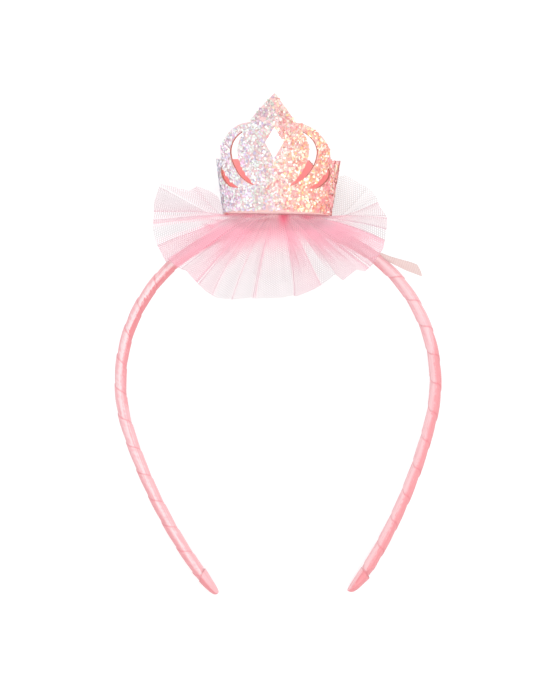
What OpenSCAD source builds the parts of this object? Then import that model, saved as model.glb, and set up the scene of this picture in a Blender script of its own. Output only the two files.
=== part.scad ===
// Child's party headband: a ribbon-wrapped band, a gathered tulle rosette and a
// small rolled crown with cut-out windows. Sizes are in millimetres.
// Pieces are modelled in the front view: X to the viewer's right, Y towards the
// crown and Z towards the viewer, with the origin at the centre of the head arc.
// lay_down() then puts the whole headband on its back, as it rests on a table.

/* [Band] */
// Radius of the head arc, to the middle of the band
band_radius = 63; // [50:0.5:75]
// Angle from the top of the head to the end of the head arc, each side
head_arc = 106; // [90:1:115]
// Radius of the straighter arms that follow the head arc
arm_radius = 207; // [120:1:400]
// Angle that each straighter arm turns through
arm_arc = 20.8; // [8:0.2:30]
// Thickness of the wrapped band, measured outwards from the head
band_thick = 4.2; // [3:0.1:7]
// Width of the wrapped band, front to back
band_width = 7; // [5:0.5:14]
// Roundness of the band's section: 2 is an ellipse, less is a lens
band_round = 1.7; // [1.2:0.1:3]

/* [Ribbon wrap] */
// Length of band that one turn of ribbon covers
wrap_pitch = 11.6; // [6:0.2:20]
// Height of the step where a turn overlaps the one before
wrap_step = 0.35; // [0:0.05:0.8]
// Length of the folded ribbon end that covers each tip
fold_length = 8.5; // [6:0.5:14]
// Thickness of the folded ribbon end
fold_wall = 0.5; // [0.4:0.1:1.2]
// How much further the fold reaches on the side to the viewer's right
fold_slant = 3; // [0:0.5:5]

/* [Crown] */
// Outer radius of the crown at its bottom edge
crown_radius = 21.4; // [15:0.2:30]
// How far the crown's wall leans outwards, in degrees
crown_flare = 8.5; // [0:0.5:20]
// Thickness of the glitter sheet with its backing
crown_wall = 1.2; // [1:0.1:2]
// Height of the wall beside the front ornament
wall_height = 20.8; // [14:0.2:30]
// Height of the wall at the back
back_height = 24.4; // [14:0.2:32]
// Turn of the ornament away from straight ahead, to the viewer's left
crown_yaw = 3.9; // [0:0.1:20]
// Further turn of the ornament's shoulders, which aren't cut quite evenly
shoulder_skew = 2.2; // [0:0.1:4]
// Further turn of the crescent windows
crescent_skew = 1.6; // [0:0.1:4]
// Place of the crown along the head arc, from the top towards the right
crown_turn = 1.5; // [0:0.5:10]
// Extra tilt of the crown on its seat
crown_tilt = 1.5; // [0:0.5:5]
// Thickness of the felt disc in the crown's bottom
disc_thick = 1.5; // [1:0.1:3]

/* [Tulle] */
// Thickness of each ply
tulle_thick = 1; // [1:0.1:1.5]
// Distance between the middles of two plies at the hub
ply_step = 1.45; // [1.1:0.05:2]
// How much further apart two plies are at the rim
ply_spread = 1.3; // [0.5:0.1:3]
// Curve of the drape: 1 is straight, more hangs later
drape_curve = 1.25; // [1:0.05:2]

/* [Label] */
// Length of the sewn-in ribbon label
label_length = 18; // [12:0.5:25]
// Width of the label at its free end
label_width = 3.8; // [3:0.2:10]
// Width of the label where it goes under the wrap
label_root = 2.4; // [2:0.2:10]
// Thickness of the label
label_thick = 1; // [0.4:0.1:1.2]

/* [Resting pose] */
// Tilt of the band's plane when the headband lies on its back
back_tilt = 7.1; // [0:0.05:15]

/* [Hidden] */
$fn = 96;
// Free distance between neighbouring pieces
gap = 0.15;
// Seat of the crown's bottom above the middle of the band
crown_seat = 3.9;
head_len = band_radius * head_arc * PI / 180;
arm_len = arm_radius * arm_arc * PI / 180;
half_len = head_len + arm_len;
flare = tan(crown_flare);
// The headband's lowest point and the middle of its length, before it is moved
lie_y = -12.05;
lie_z = 13.615;

// Top edge of the ornament: angle from its middle, height above the bottom edge
ORNAMENT = [[0, 44.9], [10, 39.5], [20.6, 33.9], [25.5, 33.7], [32, 32.9],
            [39.5, 31.4], [47.5, 29.2], [54, 27], [59.5, 24.6], [62, 22],
            [64, 21.2], [68, 21.6]];
// Windows: height, angle of the inner edge, angle of the outer edge
DIAMOND = [[20, -0.2, 0.2], [26.2, -8.3, 8.3], [32.2, -0.2, 0.2]];
BIG_CRESCENT = [[9.5, 16.4, 16.7], [10.4, 18.8, 22.4], [11.9, 22.3, 29],
                [14.3, 27, 35.5], [17.8, 31.5, 41], [20.2, 33.6, 43.1],
                [23, 34.3, 43.8], [25.3, 33.4, 42], [27.5, 31, 38.2],
                [29.3, 28.5, 32.8], [30.8, 26.4, 26.7]];
SMALL_CRESCENT = [[8.9, 36, 36.5], [9.3, 38, 44.5], [9.8, 39.8, 50.5],
                  [11, 45, 56], [12.8, 50.3, 62], [14.8, 55.3, 65.5],
                  [16.5, 58.8, 65], [18, 61, 61.3]];

// Rim of the rosette, round the crown's axis from the front to the viewer's
// right: azimuth, reach from the axis, rise above the hub, where the drape starts
RIM = [
    [1, 36.8, -33.7, 6], [8, 37.3, -33.2, 6], [14, 37, -29.8, 6],
    [21, 39, -30.7, 6], [27, 38.1, -27.9, 6], [39, 41, -26.9, 7],
    [46, 43.1, -22.1, 8], [54, 42.8, -22.5, 9], [59, 44.1, -19.4, 10],
    [64, 46.2, -13.5, 11], [69, 46, -5.5, 12], [76, 44.8, -0.8, 12],
    [87, 40.5, 3.5, 24.5], [99, 37.1, 11.3, 24.5], [113, 35.5, 14.5, 24.5],
    [124, 32.9, 15, 24.5], [131, 31.5, 14, 24.5], [146, 20, -22, 9],
    [163, 17, -26, 7], [180, 16.5, -25, 7], [197, 17, -26, 7],
    [212, 20, -22, 9], [224, 29, 6, 24.5], [239, 39, 12.3, 24.5],
    [247, 44.5, 9, 24.5], [256, 49.6, 11.5, 24.5], [264, 49.8, 5, 21],
    [271, 49.4, -2.9, 17], [276, 49.6, -6.9, 16], [280, 48.5, -11.9, 15],
    [285, 44.9, -20, 14], [291, 45.5, -19, 12], [298, 43.3, -22.3, 10],
    [304, 42, -23.6, 8],
    [309, 39.8, -27.8, 7], [314, 37.9, -31.2, 6], [321, 36, -34.1, 6],
    [328, 35.4, -34.5, 6], [340, 35.9, -34.3, 6], [349, 37.7, -31.4, 6]];
// Plies from the top: hole along the band, hole across it, share of the reach,
// and the azimuth where the ply stops on each side of the back
PLIES = [[4, 4, 1, 180], [17, 7.5, 0.9, 126], [25.5, 10, 0.78, 115]];

// How the band narrows to its tips: distance from the end, share of its full size
TAPER = [[0.3, 0.38], [1.1, 0.56], [2.8, 0.74], [5, 0.87], [7.5, 0.96], [9.5, 1]];

function joined(lists) = [for (l = lists) each l];
function backwards(l) = [for (i = [len(l) - 1:-1:0]) l[i]];
function clamped(v) = min(1, max(0, v));
function frac(v) = v - floor(v);
function power(v, e) = sign(v) * pow(abs(v), e);
function around(r, angle, height) = [r * sin(angle), height, r * cos(angle)];

// A solid skin over sections that all have the same even number of points, where
// point i lies across from the i-th last one. The ends are capped, or joined to
// each other when ring is true.
module loft(sections, ring = false) {
    n = len(sections[0]);
    m = len(sections);
    side = [for (i = [0:m - (ring ? 1 : 2)]) for (j = [0:n - 1])
        let (a = i * n, b = ((i + 1) % m) * n, k = (j + 1) % n)
        each [[a + j, a + k, b + j], [a + k, b + k, b + j]]];
    cap = ring ? [] : [for (i = [0:n / 2 - 2]) each [[i, i + 1, n - 2 - i], [i, n - 2 - i, n - 1 - i]]];
    polyhedron(joined(sections), concat(side, [for (t = cap) backwards(t)],
                                        [for (t = cap) [for (j = t) (m - 1) * n + j]]));
}

// Middle of the band and its outward direction, at a distance t from the top
function outward(t) = let (s = abs(t), a = s < head_len ? s / band_radius
    : head_len / band_radius + (s - head_len) / arm_radius)
    [sign(t) * sin(a * 180 / PI), cos(a * 180 / PI)];
function middle(t) = abs(t) <= head_len ? band_radius * outward(t)
    : (band_radius - arm_radius) * outward(sign(t) * head_len) + arm_radius * outward(t);

// Ring of points round the band at t, grown by grow and tapered by scale. A tip
// bends towards the head as it narrows, so that its inner side stays straight.
function band_ring(t, grow, scale, step, slant = 0) = [for (j = [0:13])
    let (q = j * 360 / 14,
         at = t - slant * sign(t) * (1 + sign(t) * cos(q)) / 2,
         lift = step * frac(at / wrap_pitch + j / 14),
         r = (band_thick / 2 + grow) * scale * power(cos(q), 2 / band_round) + lift * cos(q)
             - 0.42 * band_thick * (1 - scale),
         w = (band_width / 2 + grow) * scale * power(sin(q), 2 / band_round) + lift * sin(q),
         p = middle(at) + r * outward(at))
    [p[0], p[1], w]];

module band() {
    // The ribbon's steps stop before the folds, which slide over a plain end
    plain = half_len - max(12, fold_length + fold_slant + 1);
    turns = floor(2 * plain / wrap_pitch * 5);
    nose = [for (row = backwards(TAPER)) [half_len - fold_wall - 0.35 - row[0], row[1]]];
    color("pink") loft(concat(
        [for (n = backwards(nose)) band_ring(-n[0], 0, n[1], 0)],
        [band_ring(-plain - 0.8, 0, 1, 0)],
        [for (i = [0:turns]) band_ring(-plain + 2 * plain * i / turns, 0, 1, wrap_step)],
        [band_ring(plain + 0.8, 0, 1, 0)],
        [for (n = nose) band_ring(n[0], 0, n[1], 0)]));
}

// Folded ribbon end: a cup over the tip, with a slanting mouth
module tip_fold(side) {
    reaches = concat(fold_length, [for (row = backwards(TAPER)) if (row[0] < fold_length) row[0]]);
    function ring(s, wall) = band_ring(side * (half_len - wall - s), 0.2 + fold_wall - wall,
                                       lookup(s, TAPER), 0, s == fold_length ? fold_slant : 0);
    skin = concat([for (s = backwards(reaches)) ring(s, fold_wall)], [for (s = reaches) ring(s, 0)]);
    color("lightpink") loft(side > 0 ? skin : backwards(skin));
}

// Puts the crown and the rosette on their seat on the band
module on_seat() {
    rotate([0, 0, -crown_turn]) translate([0, band_radius + crown_seat, 0])
        rotate([0, 0, -crown_tilt]) children();
}

// Cutter through the crown's wall, straight out towards the azimuth facing.
// Its outline is a list of angle and height on the wall's outside.
module wall_cut(facing, outline) {
    rotate([0, facing - crown_yaw, 0]) translate([0, 0, 8]) linear_extrude(height = 32)
        polygon([for (p = outline) [(crown_radius + flare * p[1]) * sin(p[0] - facing), p[1]]]);
}

// Window from rows of height, inner and outer angle
module window(facing, rows, side = 1, skew = 0) {
    wall_cut(side * facing, concat([for (row = rows) [side * row[1] - skew, row[0]]],
                                   [for (row = backwards(rows)) [side * row[2] - skew, row[0]]]));
}

module crown() {
    top = 46;
    back_tip = atan((back_height - wall_height) / (1.47 * crown_radius + 5));
    color("mistyrose") on_seat() difference() {
        rotate([-90, 0, 0]) rotate_extrude()
            polygon([[crown_radius - crown_wall, 0], [crown_radius, 0],
                     [crown_radius + flare * top, top], [crown_radius - crown_wall + flare * top, top]]);
        // Above each half of the ornament and above the wall behind it
        for (side = [-1, 1])
            wall_cut(side * 31, [for (row = concat([[-4, 60], [-4, 47.05]], ORNAMENT, [[68, 60]]))
                [side * row[0] - shoulder_skew * clamped(row[0] / 20.6), row[1]]]);
        rotate([0, -crown_yaw, 0]) translate([0, wall_height, 10.8]) rotate([back_tip, 0, 0])
            translate([-50, 0, -80]) cube([100, 50, 80]);
        window(0, DIAMOND);
        for (side = [-1, 1]) {
            window(31, BIG_CRESCENT, side, crescent_skew);
            window(51, SMALL_CRESCENT, side, crescent_skew);
        }
        // Notch and seam where the rolled strip meets itself at the back
        wall_cut(146, [for (p = [[130, 5.6], [138.4, -0.4], [145.6, -3.3], [145.9, -3.3],
            [153, -0.4], [158, 1.6], [158, 5.6]]) [p[0], back_height + p[1]]]);
        rotate([0, 145.75 - crown_yaw, 0]) rotate([-crown_flare, 0, 0])
            translate([-0.2, -5, crown_radius - 0.4]) cube([0.4, 40, 2]);
    }
}

module base_disc() {
    r = crown_radius - crown_wall - gap;
    color("peachpuff") on_seat() rotate([-90, 0, 0])
        cylinder(h = disc_thick, r1 = r, r2 = r + flare * disc_thick);
}

// Radius of an oval hole towards an azimuth
function oval(hole, azimuth) = 1 / sqrt(pow(sin(azimuth) / hole[0], 2) + pow(cos(azimuth) / hole[1], 2));

// Section of ply k at one row of the rim: out along its top, back along its underside
function ply_section(row, k) = let (
    start = oval(PLIES[k], row[0]),
    end = row[1] * PLIES[k][2],
    run = row[1] - row[3],
    mids = [for (i = [0:7])
        let (r = max(start + 0.2 * i, min(row[1] * i / 7, end - 0.2 * (7 - i))),
             g = clamped((r - row[3]) / run),
             slope = g > 0 ? row[2] * drape_curve * pow(g, drape_curve - 1) / run : 0,
             n = [-slope, 1] / norm([slope, 1]),
             drop = k * (ply_step + ply_spread * clamped((r - 10) / 25)),
             p = [r, -2 * gap - tulle_thick / 2 + row[2] * pow(g, drape_curve)] - drop * n)
        [p + n * tulle_thick / 2, p - n * tulle_thick / 2]])
    concat([for (p = mids) around(p[0][0], row[0], p[0][1])],
           [for (p = backwards(mids)) around(p[1][0], row[0], p[1][1])]);

module tulle_ply(k) {
    right = [for (row = RIM) if (row[0] <= PLIES[k][3]) row];
    left = [for (row = RIM) if (row[0] > 180 && row[0] >= 360 - PLIES[k][3]) row];
    on_seat() loft([for (row = concat(left, right)) ply_section(row, k)], k == 0);
}

module tulle_top() { color("lavenderblush") tulle_ply(0); }

module tulle_middle() { color("pink") tulle_ply(1); }

module tulle_bottom() { color("pink") tulle_ply(2); }

// Ribbon label that comes out from under the wrap at the right shoulder
module ribbon_label() {
    side = [for (x = [-4:2:label_length]) [x, 0.9 - 0.5 * sin(x * 12) - pow(x / 11, 2)]];
    curl = concat([for (p = side) p + [0, label_thick / 2]],
                  [for (p = backwards(side)) p - [0, label_thick / 2]]);
    color("linen") difference() {
        translate([42.8, 48.9, 0]) rotate([0, 0, -22]) intersection() {
            translate([0, label_width, 0]) rotate([90, 0, 0])
                linear_extrude(height = 2 * label_width) polygon(curl);
            // The end is cut slanting, with its upper corner worn round
            translate([0, 0, -10]) linear_extrude(height = 20) polygon([
                [-4, -label_root / 2], [3, -label_root / 2], [label_length, -label_width / 2],
                [label_length - 0.8, 0], [label_length - 3.4, label_width / 2],
                [3, label_root / 2], [-4, label_root / 2]]);
        }
        cylinder(r = band_radius + band_thick / 2 + wrap_step + gap, h = 30, center = true);
    }
}

// Turns the front view onto its back, with the lowest points on the floor
module lay_down() {
    translate([0, lie_y, lie_z]) rotate([back_tilt, 0, 0]) children();
}

lay_down() {
    band();
    tip_fold(-1);  // tip_fold_left
    tip_fold(1);  // tip_fold_right
    crown();
    base_disc();
    tulle_top();
    tulle_middle();
    tulle_bottom();
    ribbon_label();
}
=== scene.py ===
"""A child's party headband: satin ribbon wound round a sprung band, a gathered tulle
rosette, and a small rolled crown of glitter sheet."""
import math
import random

import bmesh
import bpy
from mathutils import Matrix, Vector, noise
from mathutils.bvhtree import BVHTree


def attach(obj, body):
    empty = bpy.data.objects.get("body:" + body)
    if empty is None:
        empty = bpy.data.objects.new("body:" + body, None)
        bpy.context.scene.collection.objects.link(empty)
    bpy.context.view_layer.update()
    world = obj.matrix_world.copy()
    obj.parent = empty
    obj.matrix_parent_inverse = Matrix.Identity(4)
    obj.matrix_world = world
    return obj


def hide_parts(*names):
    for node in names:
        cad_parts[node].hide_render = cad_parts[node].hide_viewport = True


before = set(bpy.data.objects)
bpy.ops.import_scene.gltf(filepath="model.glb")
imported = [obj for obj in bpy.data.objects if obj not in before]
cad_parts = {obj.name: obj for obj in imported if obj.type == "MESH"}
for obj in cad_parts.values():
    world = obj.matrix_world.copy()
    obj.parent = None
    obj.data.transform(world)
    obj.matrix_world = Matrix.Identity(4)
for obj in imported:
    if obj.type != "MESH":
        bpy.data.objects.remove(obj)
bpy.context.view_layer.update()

random.seed(7)

# Measures, in millimetres
# The front view has X to the viewer's right, Y towards the crown and Z to the viewer,
# from the centre of the head arc. The headband lies on its back, 7.1 degrees off the floor.
LIE = Matrix.Translation((0, -0.01205, 0.013615)) @ Matrix.Rotation(math.radians(7.1), 4, "X")
FRONT = LIE @ Matrix.Scale(0.001, 4)
SEAT = (FRONT @ Matrix.Rotation(math.radians(-1.5), 4, "Z") @ Matrix.Translation((0, 66.9, 0))
        @ Matrix.Rotation(math.radians(-1.5), 4, "Z"))

BAND_RADIUS, ARM_RADIUS = 63.0, 207.0
HEAD_LENGTH = BAND_RADIUS * math.radians(106)
HALF_LENGTH = HEAD_LENGTH + ARM_RADIUS * math.radians(20.8)
BAND_THICK, BAND_WIDTH, BAND_ROUND = 4.2, 7.0, 1.7
# How the band narrows to its tips: distance from the tip's end, share of its full size
TAPER = [(0, 0.15), (0.3, 0.38), (1.1, 0.56), (2.8, 0.74), (5, 0.87), (7.5, 0.96), (9.5, 1)]

WRAP_PITCH = 11.6      # length of band that one turn covers
RIBBON_WIDTH = 12.7    # half-inch satin ribbon
RIBBON_TUCK = 0.29     # share of the pitch that lies under the turn before
RIBBON_STEP = 0.35     # height of the free edge over the turn below
TURN_LENGTH = 21.9     # ribbon in one turn
RIGHT_TIP_MORE = 1.4   # the fold on the viewer's right reaches this much further
# How the satin's painted sheen and painted shade run along the band, pale where the light
# falls and deep coral on the shaded side: place on the band, then middle, half width and
# strength of the pale zone, and the same of the deep zone. The band's face runs from -1 on its inner edge
# to 1 on its outer edge.
PAINTED_SHEEN = [(-190, -0.15, 0.2, 0.7, 1, 0.75, 0.6), (-165, -0.15, 0.2, 0.75, 1, 0.75, 0.55),
         (-140, -0.1, 0.2, 0.75, 1, 0.6, 0.45), (-125, 0, 0.22, 0.75, 1, 0.1, 0.35),
         (-119, 0, 0.24, 0.75, 1, -0.6, 0.35), (-113, 0, 0.25, 0.75, -1, -0.6, 0.4),
         (-105, 0.05, 0.27, 0.75, -1, 0.4, 0.5), (-92, 0.05, 0.31, 0.8, -1, 0.55, 0.75),
         (-78, 0.05, 0.36, 0.95, -1, 0.66, 1), (-50, 0.05, 0.36, 1, -1, 0.66, 1),
         (0, 0.1, 0.4, 0.6, -1, 0.5, 0.7), (50, -0.05, 0.45, 0.5, -1, 0.25, 0.8),
         (64, -0.15, 0.42, 0.5, -1, -0.6, 0.7), (72, -0.25, 0.4, 0.5, 1, -0.6, 0.5),
         (92, -0.55, 0.34, 0.45, 1, 1.05, 0.8), (190, -0.6, 0.34, 0.45, 1, 1.15, 0.85)]

CROWN_RADIUS = 21.4
CROWN_LEAN = math.tan(math.radians(8.5))
CROWN_YAW = 3.9
CROWN_SKEW = -1.6      # the die cut the crescents a little off the middle,
POINT_SKEW = -2.2      # and the outline a little more
SHEET_THICK = 0.85     # glitter coat, backing and glue
FLAKES = 8600
FLAKE_MARGIN = 0.22    # a flake hangs over the sheet's edges by less than its own reach

# Top edge of the crown's front: angle from its middle, height over the bottom edge
ORNAMENT = [(0, 44.9), (10, 39.5), (20.6, 33.9), (25.5, 33.7), (32, 32.9), (39.5, 31.4),
            (47.5, 29.2), (54, 27), (59.5, 24.6), (62, 22), (64, 21.2), (68, 21.6)]
# Notch at the back, where the strip's ends meet, in the same columns
BACK_NOTCH = [(130, 30), (138.4, 24), (145.6, 21.1), (145.9, 21.1), (153, 24), (158, 26), (158, 30)]
# Windows: height, angle of the inner edge, angle of the outer edge
DIAMOND = [(20, -0.2, 0.2), (26.2, -8.3, 8.3), (32.2, -0.2, 0.2)]
BIG_CRESCENT = [(9.5, 16.4, 16.7), (10.4, 18.8, 22.4), (11.9, 22.3, 29), (14.3, 27, 35.5),
                (17.8, 31.5, 41), (20.2, 33.6, 43.1), (23, 34.3, 43.8), (25.3, 33.4, 42),
                (27.5, 31, 38.2), (29.3, 28.5, 32.8), (30.8, 26.4, 26.7)]
SMALL_CRESCENT = [(8.9, 36, 36.5), (9.3, 38, 44.5), (9.8, 39.8, 50.5), (11, 45, 56),
                  (12.8, 50.3, 62), (14.8, 55.3, 65.5), (16.5, 58.8, 65), (18, 61, 61.3)]

# Rim of the rosette round the crown's axis, from the front to the viewer's right:
# azimuth, reach from the axis, rise over the hub, radius where the drape starts. The rows
# from 146 to 224 lie behind the crown and are a guess
RIM = [(0, 36.8, -33.6, 6), (5, 37, -33.6, 6), (9, 37.3, -32.9, 6), (13, 37.6, -32.9, 6),
       (18, 38.2, -31.5, 6), (22, 38.6, -30.2, 6), (27, 38.5, -28.4, 6), (35, 40, -24.1, 6),
       (39, 41, -26.4, 7), (46, 43.1, -22.1, 8), (54, 42.8, -22.5, 9), (59, 44.1, -19.4, 10),
       (64, 46.2, -13.5, 11), (69, 46, -5.5, 12), (76, 44.8, -0.8, 12), (87, 40.8, 4.5, 24.5),
       (93, 39.8, 8.2, 24.5), (99, 38.3, 11.3, 24.5), (106, 37.2, 13.3, 24.5),
       (113, 35.5, 15.2, 24.5), (119, 34.2, 17.2, 24.5), (124, 33.2, 18.3, 24.5),
       (131, 32.7, 18.1, 24.5), (146, 20, -22, 9), (163, 17, -26, 7), (180, 16.5, -25, 7),
       (197, 17, -26, 7), (212, 20, -22, 9), (224, 29, 6, 24.5), (231, 36.4, 11.6, 24.5),
       (239, 38.6, 12.9, 24.5), (244, 40.3, 10.6, 24.5), (250, 43.7, 11.7, 24.5),
       (256, 49.3, 12.5, 24.5),
       (264, 49.8, 5, 21), (271, 49.4, -2.9, 17), (276, 49.6, -6.9, 16),
       (280, 48.5, -11.9, 15), (285, 44.9, -20, 14), (291, 45.5, -19, 12),
       (298, 43.3, -22.3, 10), (304, 42, -23.6, 8), (309, 39.8, -27.8, 7),
       (314, 37.9, -31.2, 6), (321, 36, -34.1, 6), (328, 35.4, -34.5, 6),
       (340, 35.9, -34.3, 6), (350, 37.2, -33.9, 6)]
# Pleats of each ply: azimuth of the first and the second fold, and how closed it is
LONG_PLEATS = [(-104, -94, 0.35), (-92, -84, 0.8), (-78, -61, 0.9), (-60, -50, 0.6), (-50, -41, 0.4),
               (-29, -27, 0.3), (-14, -11.5, 0.4), (11, 27, 0.5), (36, 56, 0.6), (57, 66, 0.75),
               (69, 76, 0.4), (78, 90, 0.35), (165, 172, 0), (200, 208, 0)]
MID_PLEATS = [(-114, -104, 0.6), (-76, -64, 0.7), (-58, -51, 0.6), (-47, -42, 0.5), (12, 20, 0.6),
              (37, 45, 0.6), (49, 56, 0.6), (59, 67, 0.7), (98, 106, 0.6)]
SHORT_PLEATS = [(-100, -90, 0.5), (-72, -64, 0.5), (-46, -41, 0.5), (-16, -11, 0.5), (24, 29, 0.5),
                (52, 60, 0.5), (84, 94, 0.5)]
# Where each ply is cut off: azimuth, share of the rim's reach
LONG_CUT = [(-180, 1), (360, 1)]
MID_CUT = [(-125, 0.6), (-92, 0.66), (-81, 0.6), (-78, 0.94), (-60, 0.9), (-43, 0.8), (-40, 0.5),
           (-14, 0.46), (-11, 0.62), (9, 0.64), (12, 0.86), (26, 0.86), (28, 0.56), (35, 0.56),
           (37, 0.9), (68, 0.92), (80, 0.8), (90, 0.6), (125, 0.6)]
SHORT_CUT = [(-114, 0.6), (-84, 0.62), (-70, 0.7), (-20, 0.52), (20, 0.6), (60, 0.7), (84, 0.62),
             (114, 0.6)]
# Deep folds under the crown's front, painted crimson as shade: X, half width, how far down they come,
# strength
PAINTED_FOLD_SHADES = [(-11.5, 2.2, 1.8, 0.3), (2.6, 2, 7.5, 0.9), (12, 2.6, 2.6, 0.5)]
BACK_CREASES = (95, 105, 240)    # azimuths of single creases where the long ply stands up
NET_PITCH = 0.95       # between neighbouring holes of the net, as in soft tulle


# Helpers for pieces
def piece(name, bm, place, materials, smooth_below=None):
    """Puts a finished mesh where it belongs in the row frame and lets it ride."""
    bm.transform(place)
    mesh = bpy.data.meshes.new(name)
    bm.to_mesh(mesh)
    bm.free()
    for m in materials:
        mesh.materials.append(m)
    mesh.shade_smooth()
    if smooth_below:
        mesh.set_sharp_from_angle(angle=math.radians(smooth_below))
    made = bpy.data.objects.new(name, mesh)
    bpy.context.scene.collection.objects.link(made)
    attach(made, "root")
    return made


PLAIN = (0, 0, 0, 1)    # what a material that reads no "gather" gets


def laid_grid(columns, rows, shape, close=False):
    """A grid of cloth. shape(along, across) gives each vertex's place, its place on the
    flat cloth in millimetres, and the numbers that its material reads as "gather"."""
    bm = bmesh.new()
    bmesh.ops.create_grid(bm, x_segments=columns, y_segments=rows, size=0.5)
    flat = bm.loops.layers.uv.new("flat")
    gather = bm.verts.layers.float_color.new("gather")
    cloth = {}
    for v in bm.verts:
        v.co, cloth[v], v[gather] = shape(v.co.x + 0.5, v.co.y + 0.5)
    for face in bm.faces:
        for loop in face.loops:
            loop[flat].uv = cloth[loop.vert]
    if close:
        bmesh.ops.remove_doubles(bm, verts=bm.verts, dist=0.001)
    return bm


def eased(x):
    """Rises smoothly from 0 at x = 0 to 1 at x = 1."""
    x = min(1.0, max(0.0, x))
    return x * x * (3 - 2 * x)


def peak(x, centre, width):
    """Rises smoothly to 1 at the centre, and is mostly gone a width away from it."""
    return math.exp(-((x - centre) / width) ** 2)


def between(rows, x):
    """The row at x, worked out between its neighbours in a table sorted by first value."""
    for a, b in zip(rows, rows[1:]):
        if a[0] <= x <= b[0]:
            part = (x - a[0]) / (b[0] - a[0])
            return [p + (q - p) * part for p, q in zip(a, b)]
    return list(rows[0] if x < rows[0][0] else rows[-1])


# Helpers for materials
def srgb(code):
    """A colour such as FAAFB4 as the linear numbers that a shader reads."""
    parts = [int(code[i:i + 2], 16) / 255 for i in (0, 2, 4)]
    return [c / 12.92 if c <= 0.04045 else ((c + 0.055) / 1.055) ** 2.4 for c in parts] + [1]


def add(tree, kind, inputs=None, **settings):
    """Adds a shader node with its settings, and its inputs as values or as links."""
    made = tree.nodes.new("ShaderNode" + kind)
    for key, value in settings.items():
        setattr(made, key, value)
    for key, value in (inputs or {}).items():
        if isinstance(value, bpy.types.NodeSocket):
            tree.links.new(value, made.inputs[key])
        else:
            made.inputs[key].default_value = value
    return made


def finish(name):
    """A new material, its node tree and its shader."""
    made = bpy.data.materials.new(name)
    made.use_nodes = True
    return made, made.node_tree, made.node_tree.nodes["Principled BSDF"]


def satin_ribbon():
    """Polyester satin ribbon, woven with long floats, with a painted sheen and painted shade in broad
    zones, pale on one side and deep coral on the other, that break up along its threads."""
    made, tree, shader = finish("polyester satin ribbon, woven")
    link = tree.links.new
    cloth = add(tree, "UVMap", uv_map="flat").outputs["UV"]
    # Threads are 0.1 mm, too fine to show, so the lines are drawn 0.6 mm apart
    lines = add(tree, "Mapping", {"Vector": cloth, "Scale": (1.6, 0.09, 1)}).outputs[0]
    lines = add(tree, "TexNoise", {"Vector": lines, "Scale": 1.0, "Detail": 2.0}).outputs["Fac"]
    shade = add(tree, "MapRange", {"Value": lines, "From Min": 0.3, "From Max": 0.62}).outputs[0]
    colour = add(tree, "Mix", {0: shade, 6: srgb("DD9CA2"), 7: srgb("E7B1B6")}, data_type="RGBA")
    # The floats end in teeth of about 1 mm along the zones' edges
    teeth = add(tree, "Mapping", {"Vector": cloth, "Scale": (0.2, 0.9, 1)}).outputs[0]
    teeth = add(tree, "TexNoise", {"Vector": teeth, "Scale": 1.0, "Detail": 1.0}).outputs["Fac"]
    # The painted sheen and painted shade come in through the gather attribute: strength of the pale zone,
    # the pale zone, the deep zone and the deep zone's strength
    turn = add(tree, "Attribute", attribute_name="gather").outputs
    glow, pale, deep = add(tree, "SeparateColor", {0: turn["Color"]}).outputs[:3]
    teeth = add(tree, "Math", {0: teeth, 1: 0.5}, operation="SUBTRACT").outputs[0]
    teeth = add(tree, "Math", {0: teeth, 1: glow, 2: lines}, operation="MULTIPLY_ADD").outputs[0]
    # The noise adds 0.55 on average, so the zones' edge, 0.5, comes to 1.05
    for zone, tone, soft, most in ((pale, "E3CACC", 0.14, glow), (deep, "DB868B", 0.07, turn["Alpha"])):
        zone = add(tree, "Math", {0: teeth, 1: 1.15, 2: zone}, operation="MULTIPLY_ADD").outputs[0]
        zone = add(tree, "MapRange", {"Value": zone, "From Min": 1.05 - soft, "From Max": 1.05 + soft,
                                      "To Max": most}).outputs[0]
        colour = add(tree, "Mix", {0: zone, 6: colour.outputs[2], 7: srgb(tone)}, data_type="RGBA")
    # Each edge casts a thin painted shadow on the turn below; the edge itself, a denser selvage, is darker
    # too
    across = add(tree, "SeparateXYZ", {"Vector": cloth}).outputs["Y"]
    under = add(tree, "MapRange", {"Value": across, "From Min": 3.4, "From Max": 3.0}).outputs[0]
    edge = add(tree, "MapRange", {"Value": across, "From Min": 12.35, "From Max": 12.6}).outputs[0]
    seam = add(tree, "Math", {0: under, 1: edge}, operation="MAXIMUM").outputs[0]
    seam = add(tree, "Math", {0: seam, 1: 0.5}, operation="MULTIPLY").outputs[0]
    colour = add(tree, "Mix", {0: seam, 6: colour.outputs[2], 7: srgb("D67780")}, data_type="RGBA")
    link(colour.outputs[2], shader.inputs["Base Color"])
    gloss = add(tree, "MapRange", {"Value": lines, "To Min": 0.58, "To Max": 0.44}).outputs[0]
    link(gloss, shader.inputs["Roughness"])
    bump = add(tree, "Bump", {"Height": lines, "Distance": 0.00015, "Strength": 0.6})
    link(bump.outputs[0], shader.inputs["Normal"])
    return made


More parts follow.
